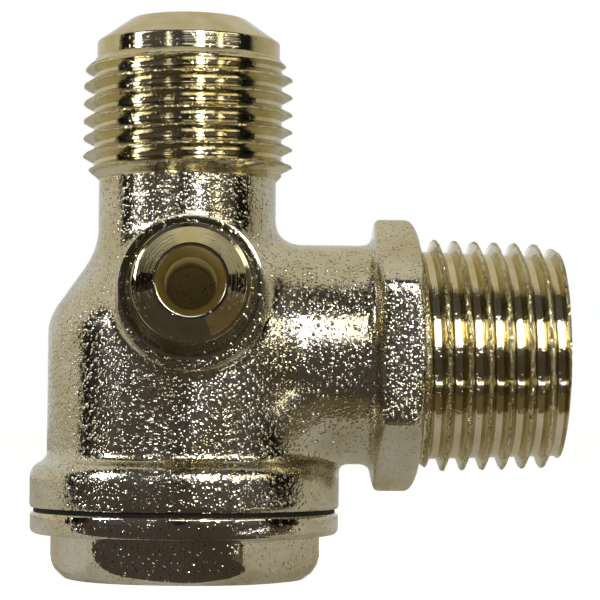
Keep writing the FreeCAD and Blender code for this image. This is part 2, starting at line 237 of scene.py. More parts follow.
def settle(piece, field, rounds=3):
    """Slides each point halfway to the middle of its neighbours, then draws it onto the field's zero: it
    moves by the field over its slope squared, times the slope."""
    mesh = piece.data
    points = np.empty(len(mesh.vertices) * 3)
    mesh.vertices.foreach_get("co", points)
    points = points.reshape(-1, 3) / MM
    edges = np.empty(len(mesh.edges) * 2, int)
    mesh.edges.foreach_get("vertices", edges)
    edges = edges.reshape(-1, 2)
    count = np.bincount(edges.ravel(), minlength=len(points))[:, None]
    for _ in range(rounds):
        total = np.zeros_like(points)
        np.add.at(total, edges[:, 0], points[edges[:, 1]])
        np.add.at(total, edges[:, 1], points[edges[:, 0]])
        points = 0.5 * points + 0.5 * total / count
        for _ in range(3):
            slope = gradient(field, points)
            steep = np.maximum((slope ** 2).sum(1), 0.05)
            points = points - (np.clip(field(points), -0.3, 0.3) / steep)[:, None] * slope
    mesh.vertices.foreach_set("co", (points * MM).ravel())
    mesh.update()


settle(blank, casting_field)


def finish_mesh(piece, sharp=35.0, gap=1e-7):
    """Closes a piece up, shades it smooth and keeps an edge sharp where its faces turn by more than an angle
    in degrees."""
    mesh = closed_up(piece, gap)
    for face in mesh.faces:
        face.smooth = True
    for edge in mesh.edges:
        edge.smooth = edge.calc_face_angle(0.0) < math.radians(sharp)
    mesh.to_mesh(piece.data)
    mesh.free()


def srgb(text):
    """A colour written as six hex digits, as linear red, green, blue and full opacity."""
    parts = [int(text[place:place + 2], 16) / 255 for place in (0, 2, 4)]
    return tuple(c / 12.92 if c <= 0.04045 else ((c + 0.055) / 1.055) ** 2.4 for c in parts) + (1.0,)


def add(tree, kind, sockets=None, **settings):
    """Adds one node, sets its own settings, and gives each named socket a value or a link."""
    item = tree.nodes.new(kind)
    for name, value in settings.items():
        setattr(item, name, value)
    for name, value in (sockets or {}).items():
        if isinstance(value, bpy.types.NodeSocket):
            tree.links.new(value, item.inputs[name])
        else:
            item.inputs[name].default_value = value
    return item


def new_material(name):
    """An empty material, its node tree and its output."""
    material = bpy.data.materials.new(name)
    material.use_nodes = True
    material.node_tree.nodes.clear()
    return material, material.node_tree, material.node_tree.nodes.new("ShaderNodeOutputMaterial")


def grained_skin(name, light, deep, grain, relief, rough, sparse=2.0, rim=0.0, metallic=1.0, pit_shade_power=5.0):
    """A smooth skin with rounded grains standing on it, as sand leaves on a plated casting. Light and deep
    are the two tones it drifts between, grain is the grains' spacing and relief their height in millimetres,
    and sparse is a power: the higher, the fewer of them stand tall. Painted shade darkens some of the finer
    grains towards their middles and stands in for deep pits, more of them for a lower pit power. With a rim
    height given, the skin is rubbed smoother below it."""
    material, tree, output = new_material(name)
    place = add(tree, "ShaderNodeTexCoord").outputs["Object"]
    heights = []
    for spacing, share in ((grain, 1.0), (grain * 0.6, 0.45)):
        cell = add(tree, "ShaderNodeTexVoronoi", {"Vector": place, "Scale": 1 / (spacing * MM)})
        dome = add(tree, "ShaderNodeMapRange", {"Value": cell.outputs["Distance"], "From Min": 0.5,
                                                "From Max": 0.0, "To Max": share},
                   interpolation_type="SMOOTHSTEP")
        chance = add(tree, "ShaderNodeSeparateXYZ", {0: cell.outputs["Color"]})
        size = add(tree, "ShaderNodeMath", {0: chance.outputs["X"], 1: sparse}, operation="POWER")
        heights.append(add(tree, "ShaderNodeMath", {0: dome.outputs[0], 1: size.outputs[0]},
                           operation="MULTIPLY"))
    both = add(tree, "ShaderNodeMath", {0: heights[0].outputs[0], 1: heights[1].outputs[0]}, operation="ADD")
    # Painted shade in pits: the chosen finer cells only darken the colour towards their middles, and their
    # height stays.
    pit_shade_chance = add(tree, "ShaderNodeMath", {0: chance.outputs["Z"], 1: pit_shade_power}, operation="POWER")
    pit_shade_mask = add(tree, "ShaderNodeMath", {0: pit_shade_chance.outputs[0], 1: dome.outputs[0]}, operation="MULTIPLY")
    painted_pit_shade = add(tree, "ShaderNodeMath", {0: pit_shade_mask.outputs[0], 1: 3.0}, operation="MULTIPLY", use_clamp=True)
    strength = 1.0
    if rim:
        spot = add(tree, "ShaderNodeSeparateXYZ", {0: place})
        strength = add(tree, "ShaderNodeMapRange", {
            "Value": spot.outputs["Z"], "From Min": (rim - 0.7) * MM, "From Max": (rim + 0.9) * MM,
            "To Min": 0.6, "To Max": 1.0}).outputs[0]
    bump = add(tree, "ShaderNodeBump", {"Strength": strength, "Distance": relief * MM,
                                        "Height": both.outputs[0]})
    cloud = add(tree, "ShaderNodeTexNoise", {"Vector": place, "Scale": 1 / (4.0 * MM), "Detail": 3.0})
    tone = add(tree, "ShaderNodeMapRange", {"Value": cloud.outputs["Fac"], "From Min": 0.35, "From Max": 0.65,
                                            "To Min": 0.0, "To Max": 1.0})
    colour = add(tree, "ShaderNodeMix", {0: tone.outputs[0], 6: srgb(light), 7: srgb(deep)}, data_type="RGBA")
    # The painted pit shade multiplies the tone by a dark grey-brown.
    colour = add(tree, "ShaderNodeMix", {0: painted_pit_shade.outputs[0], 6: colour.outputs[2], 7: srgb("4E493E")},
                 data_type="RGBA", blend_type="MULTIPLY")
    wave = add(tree, "ShaderNodeTexNoise", {"Vector": place, "Scale": 1 / (0.6 * MM), "Detail": 2.0})
    swell = add(tree, "ShaderNodeBump", {"Distance": relief * 0.25 * MM, "Height": wave.outputs["Fac"],
                                         "Normal": bump.outputs[0]})
    shader = add(tree, "ShaderNodeBsdfPrincipled", {"Metallic": metallic, "Base Color": colour.outputs[2],
                                                    "Roughness": rough, "Normal": swell.outputs[0]})
    tree.links.new(shader.outputs[0], output.inputs["Surface"])
    return material


def carve(piece, name, rows, axis="z", centre=(0.0, 0.0, 0.0), sides=144):
    """Takes a turned cutter out of a piece. The cut faces carry the cutter's material number, 1."""
    cutter = solid_of_turn(name, rows, axis, centre, sides)
    for slot_material in piece.data.materials:
        cutter.data.materials.append(slot_material)
    cutter.data.polygons.foreach_set("material_index", np.ones(len(cutter.data.polygons), int))
    cut = piece.modifiers.new(name, "BOOLEAN")
    cut.operation, cut.solver, cut.object = "DIFFERENCE", "MANIFOLD", cutter
    apply_modifiers(piece)
    bpy.data.objects.remove(cutter)


spigot_bore, thread_bore_end = 11.1, 12.1
chamber_radius, chamber_start, chamber_ceiling = 10.0, 13.0, 22.9
seat_height, seat_radius, inlet_bore = 21.5, 6.2, 4.6
outlet_bore, outlet_start = 6.0, 8.0
nozzle_bore, nozzle_reach = 2.16, 22.4
# Sand-cast brass under bright nickel: a mirror broken up by the sand's grains, so every light is scattered
# into dots and every dark place is speckled. The sand was finer; at 0.4 mm it is as fine as the picture can
# show. The bores aren't plated, so they are matt and a warmer yellow.
# Painted shade in some of the finer grains stands in for pits and adds to the dark speckles.
skin = grained_skin("nickel plated sand-cast brass", "D4CFBC", "C4BA9A", grain=0.4, relief=0.13, rough=0.13,
                    sparse=2.0, rim=flange_top)
bored = grained_skin("bored brass", "FBF0C8", "F3E4B0", grain=0.5, relief=0.01, rough=0.45, metallic=0.0)
blank.data.materials.append(skin)
blank.data.materials.append(bored)
carve(blank, "chamber", [
    (0, flange_bottom - 1), (spigot_bore, flange_bottom - 1), (spigot_bore, thread_bore_end),
    (chamber_radius, chamber_start), (chamber_radius, chamber_ceiling), (seat_radius + 0.3, chamber_ceiling),
    (seat_radius, seat_height), (inlet_bore, seat_height), (inlet_bore, neck_end + 1), (0, neck_end + 1)])
carve(blank, "outlet", [(0, outlet_start), (outlet_bore, outlet_start), (outlet_bore, 30), (0, 30)],
      "x", (0, 0, TANK_AXIS))
carve(blank, "unloader", [(0, 0), (nozzle_bore, 0), (nozzle_bore, 20), (0, 20)],
      "-y", (NOZZLE_SHIFT, 0, NOZZLE_AXIS), 72)
finish_mesh(blank, sharp=40)
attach(blank, "casing")
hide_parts("valve_body")

# The inlet end
# The casting's top is turned: a 3/4 inch thread of 16 turns to the inch, a smooth pilot and a cone that a
# flared tube is pressed on. The tool leaves fine rings, and the plating makes them bright.
inlet_pitch, inlet_radius, inlet_depth, inlet_phase = 1.5875, 9.525, 0.98, 0.755
inlet_start, inlet_stop, pilot_start = 36.05, 46.95, 47.0
runout_radius, undercut_radius, runout_slope = 8.17, 8.06, 1.15
pilot_radius, pilot_top = 8.33, 48.6
nose_top, nose_radius = 50.6, 5.2
root_rounding = 0.12


def thread_rows(start, end, pitch, phase, crest_radius, depth, sides, steps=14, crest=0.14, root=0.2):
    """Rows of (radius, along) for a right-hand thread. Each row keeps to one place in the thread's outline
    and climbs one pitch in a turn, held between start and end. The outline is a V with a flat at crest and
    root. Its height is rounded at the root, to the square root of height squared plus rounding squared, less
    the rounding, and brought back to between 0 and 1."""
    turn = np.arange(sides + 1) / sides
    rows = []
    for number in range(-steps - 1, int(math.ceil((end - start) / pitch * steps)) + 2):
        along = np.clip(start + pitch * (number / steps + turn), start, end)
        place = ((along - start) / pitch - turn + phase) % 1.0
        slope = np.abs(2 * place - 1)
        height = 1 - np.clip((slope - crest) / (1 - crest - root), 0, 1)
        height = (np.hypot(height, root_rounding) - root_rounding) / 0.887
        rows.append((crest_radius(along) - depth * (1 - height), along))
    return rows


def turned_piece(name, rows, materials, axis="z", centre=(0.0, 0.0, 0.0), sides=288, sharp=35.0, second=(),
                 nick=0.0):
    """A closed ring of turned metal: its outline goes up the outside and back down the bore. The strips of
    faces that start at the rows numbered in second carry the second material. The points of those rows are
    sunk by a random share of nick, but not where the rows of a thread run together at its ends."""
    tear = np.random.default_rng(5).random((len(rows), sides + 1)) * nick
    places = np.array([np.broadcast_to(along, sides + 1) for _, along in rows])
    still = np.abs(places - np.roll(places, -1, axis=0)) < 0.01
    tear[still | np.roll(still, 1, axis=0)] = 0
    tear[:, [0, -1]] = 0
    rows = [(r - tear[number] if number in second else r, along) for number, (r, along) in enumerate(rows)]
    grid = turned_points(rows, sides, axis, centre)
    piece = mesh_object(name, grid.reshape(-1, 3), grid_faces(len(rows), sides + 1, round_rows=True))
    for material in materials:
        piece.data.materials.append(material)
    strip = np.isin(np.arange(len(rows)), second).astype(int)
    piece.data.polygons.foreach_set("material_index", np.repeat(strip, sides))
    finish_mesh(piece, sharp, 2e-6)
    return piece


def torn_rows(first, count, phase, steps, low, high):
    """Numbers of the rows on a thread's crest: those whose place in the outline lies between two shares of
    the pitch, with the crest at 0.5. The thread's first row has a given number in its piece."""
    place = (np.arange(-steps - 1, count - steps - 1) / steps + phase) % 1.0
    return first + np.nonzero((place > low) & (place < high))[0]


def arc_rows(centre, radius, start, end, count=6):
    """Points of (radius, along) on an arc between two angles in degrees: the centre plus the radius times the
    angle's cosine and sine."""
    angles = np.radians(np.linspace(start, end, count))
    return [(centre[0] + radius * math.cos(a), centre[1] + radius * math.sin(a)) for a in angles]


def turned_metal(name, light, deep, rough, rings, centre=(0, 0, 0), turn=(0, 0, 0), nicks=0.01):
    """Bright turned metal. The rings are noise read from the distance to the part's axis and the place along
    it, so they close round the part. Rings and nicks, which are small dents, are given by their depth in
    millimetres."""
    material, tree, output = new_material(name)
    raw = add(tree, "ShaderNodeTexCoord").outputs["Object"]
    place = add(tree, "ShaderNodeMapping", {"Vector": raw, "Location": tuple(-c * MM for c in centre)})
    place = add(tree, "ShaderNodeVectorRotate", {"Vector": place.outputs[0], "Rotation": tuple(
        math.radians(a) for a in turn)}, rotation_type="EULER_XYZ")
    parts = add(tree, "ShaderNodeSeparateXYZ", {0: place.outputs[0]})
    flat = add(tree, "ShaderNodeCombineXYZ", {"X": parts.outputs["X"], "Y": parts.outputs["Y"]})
    radius = add(tree, "ShaderNodeVectorMath", {0: flat.outputs[0]}, operation="LENGTH")
    ring = add(tree, "ShaderNodeCombineXYZ", {"X": radius.outputs["Value"], "Y": parts.outputs["Z"]})
    lines = add(tree, "ShaderNodeTexNoise", {"Vector": ring.outputs[0], "Scale": 1 / (0.16 * MM),
                                             "Detail": 3.0, "Roughness": 0.6})
    dents = add(tree, "ShaderNodeTexNoise", {"Vector": raw, "Scale": 1 / (0.45 * MM), "Detail": 2.0})
    few = add(tree, "ShaderNodeMapRange", {"Value": dents.outputs["Fac"], "From Min": 0.58, "From Max": 0.72,
                                           "To Min": 0.0, "To Max": 1.0})
    first = add(tree, "ShaderNodeBump", {"Strength": 1.0, "Distance": rings * MM,
                                         "Height": lines.outputs["Fac"]})
    second = add(tree, "ShaderNodeBump", {"Strength": 1.0, "Distance": nicks * MM, "Height": few.outputs[0],
                                          "Normal": first.outputs[0]})
    cloud = add(tree, "ShaderNodeTexNoise", {"Vector": raw, "Scale": 1 / (2.5 * MM), "Detail": 4.0})
    tone = add(tree, "ShaderNodeMapRange", {"Value": cloud.outputs["Fac"], "From Min": 0.35, "From Max": 0.65,
                                            "To Min": 0.0, "To Max": 1.0})
    colour = add(tree, "ShaderNodeMix", {0: tone.outputs[0], 6: srgb(light), 7: srgb(deep)}, data_type="RGBA")
    shine = add(tree, "ShaderNodeMapRange", {"Value": lines.outputs["Fac"], "From Min": 0.3, "From Max": 0.7,
                                             "To Min": rough * 0.7, "To Max": rough * 1.5})
    shader = add(tree, "ShaderNodeBsdfPrincipled", {"Metallic": 1.0, "Base Color": colour.outputs[2],
                                                    "Roughness": shine.outputs[0],
                                                    "Normal": second.outputs[0]})
    tree.links.new(shader.outputs[0], output.inputs["Surface"])
    return material


def inlet_crest(z):
    """Radius of the crests: full over most of the thread, less by a cone at its run-out and at its start."""
    return np.minimum(inlet_radius, np.minimum(runout_radius + (z - inlet_start) * runout_slope + inlet_depth,
                                               pilot_radius + (pilot_start - z) + inlet_depth))


def inlet_envelope(r, z):
    """A thread's radius kept inside the run-out's and the pilot's cones and outside the undercut."""
    inside = np.minimum(np.minimum(r, 8.1 + (z - 35.95) * runout_slope), pilot_radius + (pilot_start - z))
    return np.maximum(inside, undercut_radius)


# Where the die tore the crests, the plating lies over ragged brass, so they glitter in short nicks. Turned
# brass under nickel is a clean mirror with a yellow tint, drawn out along the tool's rings, which are finer
# in truth than the 0.16 mm at which they still show.
torn_metal = grained_skin("torn and plated brass", "DAD2B4", "C0B488", grain=0.2, relief=0.11, rough=0.2,
                          sparse=1.2)
inlet_metal = turned_metal("nickel plated turned brass, inlet", "D6CFB4", "C8BC90", rough=0.08, rings=0.012)
inlet_thread = thread_rows(inlet_start, inlet_stop, inlet_pitch, inlet_phase, inlet_crest, inlet_depth,
                           sides=288, steps=14, crest=0.06, root=0.2)
inlet_thread = [(inlet_envelope(r, z), z) for r, z in inlet_thread]
inlet_rows = ([(7.6, 35.8), (undercut_radius, 35.9)] + inlet_thread
              + [(pilot_radius, z) for z in (pilot_start, 47.03, 47.06, 47.7, 48.2, 48.27)]
              + arc_rows((pilot_radius - 0.3, pilot_top - 0.3), 0.3, 0, 55, 5)
              + arc_rows((nose_radius, nose_top - 0.35), 0.35, 55, 90, 4)
              + arc_rows((inlet_bore + 0.25, nose_top - 0.25), 0.25, 90, 180, 5)
              + [(inlet_bore - 0.01, 48), (inlet_bore - 0.01, 35.8)])
inlet_end = turned_piece("inlet_end", inlet_rows, [inlet_metal, torn_metal],
                         second=torn_rows(2, len(inlet_thread), inlet_phase, steps=14, low=0.42, high=0.58),
                         nick=0.1)
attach(inlet_end, "casing")
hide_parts("valve_body")

# The tank end
# A 1/2 inch taper thread of 14 turns to the inch with rounded crests, turned on the tube beyond the collar.
# It screws into the tank's boss, so its end is rounded to start without catching.
tank_pitch, tank_depth, tank_phase = 1.8143, 1.16, 0.92
tank_start, tank_stop, tank_end_at = 20.95, 33.75, 33.8
gauge_radius, gauge_plane = 10.478, 25.6
tank_metal = turned_metal("nickel plated turned brass, tank end", "D6CFB4", "C8BC90", rough=0.08, rings=0.012,
                          centre=(0, 0, TANK_AXIS), turn=(0, 90, 0))
tank_thread = thread_rows(tank_start, tank_stop, tank_pitch, tank_phase,
                          lambda x: gauge_radius - (x - gauge_plane) / 32, tank_depth,
                          sides=288, steps=16, crest=0.12, root=0.34)
# The outline that the thread is cut from, as (along, radius): a run-out by the collar and a rounded start.
tank_blank = [(tank_start, 9.9), (21.3, 9.9), (22.2, 10.6), (30.5, 10.72), (33.0, 10.02), (tank_end_at, 9.46)]
tank_thread = [(np.minimum(r, np.interp(x, *zip(*tank_blank))), x) for r, x in tank_thread]
tank_rows = ([(9.0, 20.4), (9.9, 20.5)] + tank_thread + [(8.6, tank_end_at)]
             + arc_rows((outlet_bore + 0.3, tank_end_at - 0.3), 0.3, 90, 180, 5)
             + [(outlet_bore - 0.01, 30), (outlet_bore - 0.01, 20.4)])
tank_end = turned_piece("tank_end", tank_rows, [tank_metal, torn_metal], "x", (0, 0, TANK_AXIS),
                        second=torn_rows(2, len(tank_thread), tank_phase, steps=16, low=0.37, high=0.64),
                        nick=0.2)
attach(tank_end, "casing")
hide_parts("valve_body")

# The unloader nozzle
# A small M10 thread on the boss in front, with a plain tip, a cone and a flat ring before its rippled mouth,
# where a pipe's olive sits. The boss's face is cut by the same tool, which chattered and left radial marks.
nozzle_metal = turned_metal("nickel plated turned brass, nozzle", "D6CFB4", "C8BC90", rough=0.08, rings=0.012,
                            centre=(NOZZLE_SHIFT, 0, NOZZLE_AXIS), turn=(90, 0, 0))
nozzle_sides, nozzle_radius, nozzle_core, tip_radius, ring_radius = 288, 5.0, 4.4, 4.55, 4.15
nozzle_start, nozzle_stop, nozzle_pitch, nozzle_depth, boss_rim = 13.4, 19.9, 1.0, 0.6, 6.33
mouth_floor, mouth_top, mouth_length, mouth_flare = 18.0, 22.2, 4.25, 0.66
ripple, ripple_length = 0.032, 0.85
around = np.linspace(0, 2 * math.pi, nozzle_sides + 1)
chatter = 0.006 * np.sin(around * 72) * (np.clip(np.cos(around + 0.8), 0, 1) ** 8
                                         + 0.6 * np.clip(np.cos(around - 2.7), 0, 1) ** 12)
nozzle_thread = thread_rows(nozzle_start, nozzle_stop, nozzle_pitch, 0.0,
                            lambda y: np.full_like(y, nozzle_radius), nozzle_depth, nozzle_sides, steps=12)
nozzle_thread = [(np.minimum(r, nozzle_core + np.maximum(0, nozzle_stop - y)), y) for r, y in nozzle_thread]
nozzle_thread = [(np.where(y < nozzle_start + 0.35, nozzle_core, r), y) for r, y in nozzle_thread]
mouth = [(nozzle_bore + mouth_flare * (y - mouth_floor) / mouth_length
          + ripple * math.cos((y - mouth_floor) / ripple_length * 2 * math.pi), y)
         for y in np.linspace(mouth_top, mouth_floor, 41)]
boss_edge = [(boss_rim - 0.02 * k, 12.75 + 0.23 * k / 4) for k in range(1, 5)]
boss_top = [(6.2 - 0.25 * k, 12.99 + chatter * (1 if k < 6 else 0)) for k in range(0, 7)]
nozzle_rows = ([(4.0, 12.0), (6.2, 12.2), (boss_rim, 12.6), (boss_rim, 12.75)] + boss_edge + boss_top
               + [(nozzle_core, 13.0)] + nozzle_thread
               + [(tip_radius, 19.95), (tip_radius, 20.66), (tip_radius, 20.7), (4.51, 20.74), (4.19, 21.06),
                  (ring_radius, 21.1), (ring_radius, 21.36), (ring_radius, 21.4), (4.11, 21.44), (3.2, 22.35),
                  (3.15, nozzle_reach)]
               + arc_rows((2.95, nozzle_reach - 0.12), 0.12, 90, 180, 6) + mouth + [(nozzle_bore, 12.0)])
nozzle_end = turned_piece("unloader_nozzle", nozzle_rows, [nozzle_metal, bored], "-y",
                          (NOZZLE_SHIFT, 0, NOZZLE_AXIS), nozzle_sides, second=[len(nozzle_rows) - 2])
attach(nozzle_end, "casing")
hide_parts("valve_body")

# The bottom cap
# A plug with a hexagon for a 22 mm spanner and a round flange, forged of brass and nickel plated. Its spigot
# screws into the casting and holds the spring in a ring-shaped pocket round the stem's guide.
cap_turn, cap_flange, cap_flange_end = 21.0, 13.9, 6.0
hex_height, cap_corner, cap_chamfer = 4.0, 12.25, 10.6
spigot_radius, spigot_top = 11.0, 11.6
pocket_radius, pocket_floor, guide_radius, guide_top = 6.2, 5.0, 3.3, 9.5
guide_hole, guide_hole_floor = 2.3, 2.4
cap_sides = 432
cap_angle = np.linspace(0, 2 * math.pi, cap_sides + 1)
from_corner = (cap_angle - math.radians(cap_turn)) % (math.pi / 3) - math.pi / 6
facet = np.abs(from_corner) - math.pi / 6
hexagon = (across_flats / 2) / np.cos(facet)
hexagon = smooth_min(hexagon, np.full(cap_sides + 1, cap_corner), 0.25)


def cap_row(z):
    """Radius of the hexagon at a height: its flats, cut below by a steep cone and rounded into the end by a
    square root of the height."""
    cone = cap_chamfer + 0.1 + z * 1.5
    low = smooth_min(hexagon, np.full(cap_sides + 1, cone), 0.7)
    return np.minimum(low, cap_chamfer + np.sqrt(np.maximum(0.0, 0.6 * z)) * 1.6)


# Forged brass under the same nickel: smoother than the casting, with painted shade in a few spots that stand
# in for pits.
cap_metal = grained_skin("nickel plated forged brass", "D8D3C0", "C8BE9E", grain=0.42, relief=0.07,
                         rough=0.08, sparse=4.0, pit_shade_power=3.0)
hex_heights = (0.015, 0.05, 0.1, 0.18, 0.28, 0.4, 0.55, 0.7, 0.9, 1.1, 1.4, 2.0, 2.8, 3.6)
hex_rows = ([(0.0, 0.0), (5.0, 0.0), (9.8, 0.0), (10.45, 0.0)] + [(cap_row(z), z) for z in hex_heights]
            + [(hexagon, 3.85), (hexagon + 0.05, 3.95), (hexagon + 0.15, hex_height)])
rim_rows = ([(13.0, 4.02)] + arc_rows((13.3, 4.6), 0.6, -90, 0, 8) + [(cap_flange, 5.2)]
            + arc_rows((13.6, 5.7), 0.3, 0, 90, 6) + [(12.0, cap_flange_end)])
spigot_rows = [(spigot_radius, cap_flange_end), (spigot_radius, 10.9), (spigot_radius - 0.7, spigot_top)]
pocket_rows = [(pocket_radius + 0.3, spigot_top), (pocket_radius, 11.3), (pocket_radius, 5.3),
               (pocket_radius - 0.3, pocket_floor)]
guide_rows = [(guide_radius, pocket_floor), (guide_radius, 9.2), (guide_radius - 0.3, guide_top),
              (guide_hole + 0.1, guide_top), (guide_hole, 9.4), (guide_hole, 2.6), (0.0, guide_hole_floor)]
cap_rows = hex_rows + rim_rows + spigot_rows + pocket_rows + guide_rows
cap_grid = turned_points(cap_rows, cap_sides)
cap = mesh_object("cap", cap_grid.reshape(-1, 3), grid_faces(len(cap_rows), cap_sides + 1))
cap.data.materials.append(cap_metal)
finish_mesh(cap, sharp=40, gap=2e-6)
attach(cap, "casing")
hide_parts("bottom_cap")

# The gasket
# A thin black rubber ring, squeezed between cap and casting until it fills the gap. Nitrile rubber is dull
# and nearly black, so it shows as a dark line.
gasket_rubber, tree, output = new_material("black nitrile rubber")
place = add(tree, "ShaderNodeTexCoord").outputs["Object"]
speck = add(tree, "ShaderNodeTexNoise", {"Vector": place, "Scale": 1 / (0.3 * MM), "Detail": 3.0})
colour = add(tree, "ShaderNodeMix", {0: speck.outputs["Fac"], 6: srgb("0C0B0B"), 7: srgb("1A1817")},
             data_type="RGBA")
bump = add(tree, "ShaderNodeBump", {"Distance": 0.02 * MM, "Height": speck.outputs["Fac"]})
shader = add(tree, "ShaderNodeBsdfPrincipled", {"Base Color": colour.outputs[2], "Normal": bump.outputs[0],
                                                "Roughness": 0.7, "Specular IOR Level": 0.25})
tree.links.new(shader.outputs[0], output.inputs["Surface"])


def refinish(node, material):
    """Gives a CAD node's object a finish in place of its plain one."""
    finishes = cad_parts[node].data.materials
    finishes.clear()
    finishes.append(material)


refinish("cap_gasket", gasket_rubber)

# The spring
# Seven turns of drawn stainless wire, the end ones closed and ground flat, standing in the cap's pocket round
# the guide. In the valve it shortens as the poppet goes down; here it is built at one length.
wire, spring_radius, spring_low, spring_high = 0.45, 4.1, 5.05, 17.85
turns, wire_sides, lift = 7.0, 16, 3.5
# Drawn steel is greyer than the nickel, with a soft shine along the wire.
spring_steel = turned_metal("drawn stainless steel wire", "C4C6C6", "A9ABAB", rough=0.2, rings=0.004)
# A point's radius is the coil's plus the wire's times the cosine of the angle round the wire, turned by the
# angle round the coil. Its height is the coil's climb plus the wire's radius times that angle's sine, held
# between the ground ends.
path = np.linspace(0, 1, 721)
ease = np.interp(path * turns, [0, 1.0, turns - 1.0, turns],
                 [spring_low + wire * 0.9, spring_low + wire * 2.6, spring_high - wire * 2.6,
                  spring_high - wire * 0.9])
wind = path * turns * 2 * math.pi
section = np.arange(wire_sides) / wire_sides * 2 * math.pi
spring_r = spring_radius + wire * np.cos(section)[None, :]
spring_z = np.clip(ease[:, None] + wire * np.sin(section)[None, :], spring_low, spring_high)
spring_grid = np.stack([spring_r * np.cos(wind)[:, None], spring_r * np.sin(wind)[:, None], spring_z], -1)
last = len(path) * wire_sides
spring_faces = grid_faces(len(path), wire_sides, round_columns=True)
spring_faces += [list(range(wire_sides - 1, -1, -1)), list(range(last - wire_sides, last))]
spring = mesh_object("coil_spring", spring_grid.reshape(-1, 3), spring_faces)
spring.data.materials.append(spring_steel)
finish_mesh(spring, sharp=50)
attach(spring, "casing")
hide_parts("spring")
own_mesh(spring)

# The poppet, its soft disc, the washer and the screw
# The carrier is moulded in natural acetal, milky and waxy, and the disc is dull black nitrile rubber. Washer
# and screw are stainless steel, stamped and turned, with a grey shine. All four keep their CAD shapes.
acetal = grained_skin("natural acetal, moulded", "E4E0D3", "D9D3C2", grain=0.6, relief=0.004, rough=0.38,
                      metallic=0.0)
disc_rubber = grained_skin("nitrile rubber, moulded", "1B1A19", "242220", grain=0.5, relief=0.004, rough=0.5,
                           metallic=0.0)
stainless = turned_metal("stainless steel, stamped and turned", "C2C3C3", "ACAEAE", rough=0.2, rings=0.004)
refinish("poppet", acetal)
refinish("poppet_disc", disc_rubber)
refinish("disc_washer", stainless)
refinish("disc_screw", stainless)

# The floor
# A plain pale table of matt paper that runs out of sight. The camera sees it as nearly white, the metal a
# little of that too, and it keeps the valve's soft shadow.
floor_reach = 1500
floor = mesh_object("floor", [(-floor_reach, -floor_reach, 0), (floor_reach, -floor_reach, 0),
                              (floor_reach, floor_reach, 0), (-floor_reach, floor_reach, 0)], [[0, 1, 2, 3]])
paper, tree, output = new_material("matt pale paper")
seen = add(tree, "ShaderNodeLightPath")
mirrored = add(tree, "ShaderNodeMath", {0: seen.outputs["Is Glossy Ray"],
                                        1: seen.outputs["Is Transmission Ray"]}, operation="MAXIMUM")
mirrored = add(tree, "ShaderNodeMath", {0: mirrored.outputs[0], 1: 0.05}, operation="MULTIPLY")
direct = add(tree, "ShaderNodeMath", {0: seen.outputs["Is Camera Ray"], 1: mirrored.outputs[0]},
             operation="MAXIMUM")
glow = add(tree, "ShaderNodeMath", {0: direct.outputs[0], 1: 0.75}, operation="MULTIPLY")
lit = add(tree, "ShaderNodeBsdfDiffuse", {"Color": srgb("D8D5CE")})
shine = add(tree, "ShaderNodeEmission", {"Color": srgb("FFFFFF"), "Strength": glow.outputs[0]})
both = add(tree, "ShaderNodeAddShader", {0: lit.outputs[0], 1: shine.outputs[0]})
tree.links.new(both.outputs[0], output.inputs["Surface"])
floor.data.materials.append(paper)


# The cards
# Brown card lies on the table in front of the valve, a lighter one at its edge on the right, as under bright
# metal in a studio. A white strip on it draws a thin line along the turned parts, and two black flags stand
# to the left and right and give their dark edges. Only the metal sees the cards.
card_reach, card_height, strip_height = 1490, 0.05, 0.1


def card(name, corners, colour, strength=1.0):
    """A flat card of four corners in millimetres that glows in its own plain colour."""
    sheet = mesh_object(name, corners, [[0, 1, 2, 3]])
    cardboard, tree, output = new_material(name)
    shine = add(tree, "ShaderNodeEmission", {"Color": srgb(colour), "Strength": strength})
    tree.links.new(shine.outputs[0], output.inputs["Surface"])
    sheet.data.materials.append(cardboard)
    sheet.visible_camera = sheet.visible_shadow = sheet.visible_diffuse = False


def lying_card(name, left, right, near, far, height, colour, strength=1.0):
    """A card on the table between two places across the picture and two places away from the camera."""
    card(name, [(left, near, height), (right, near, height), (right, far, height), (left, far, height)],
         colour, strength)


def flag(name, start, end, distance, height):
    """A black flag that stands on the table between two directions, in degrees from the camera's side."""
    angles = [math.radians(a) for a in (start, end)]
    feet = [(distance * math.sin(a), -distance * math.cos(a)) for a in angles]
    card(name, [feet[0] + (0.1,), feet[1] + (0.1,), feet[1] + (height,), feet[0] + (height,)], "0C0B0A")


lying_card("brown_card", -card_reach, card_reach, -card_reach, -24, card_height, "4B4440")
lying_card("card_edge", 11, card_reach, -24, -13, card_height, "6E6148")
lying_card("card_corner", -card_reach, 11, -24, -11, card_height, "4B4440")
lying_card("white_strip", 26, 60, -38, -35.5, strip_height, "FFFFFF", 6.0)
flag("left_flag", -94, -80, 150, 60)
flag("right_flag", 66, 88, 150, 60)

# The light
# A white tent behind and beside the valve and a dark room in front of it, with a few lamps, as the
# reflections in the turned parts show. The camera itself sees plain white behind the valve.
world = bpy.data.worlds.new("studio")
bpy.context.scene.world = world
world.use_nodes = True
tree = world.node_tree
tree.nodes.clear()
output = tree.nodes.new("ShaderNodeOutputWorld")
way = add(tree, "ShaderNodeSeparateXYZ", {0: add(tree, "ShaderNodeTexCoord").outputs["Generated"]})
front = add(tree, "ShaderNodeMath", {0: way.outputs["Y"], 1: -1.0}, operation="MULTIPLY")
azimuth = add(tree, "ShaderNodeMath", {0: way.outputs["X"], 1: front.outputs[0]}, operation="ARCTAN2")
share = add(tree, "ShaderNodeMapRange", {"Value": azimuth.outputs[0], "From Min": -math.pi,
                                         "From Max": math.pi, "To Min": 0.0, "To Max": 1.0})
room = add(tree, "ShaderNodeValToRGB", {"Fac": share.outputs[0]})
tent, far_tent, room_grey = (0.68, 0.64, 0.52), (0.68, 0.69, 0.7), (1.0, 0.92, 0.92)
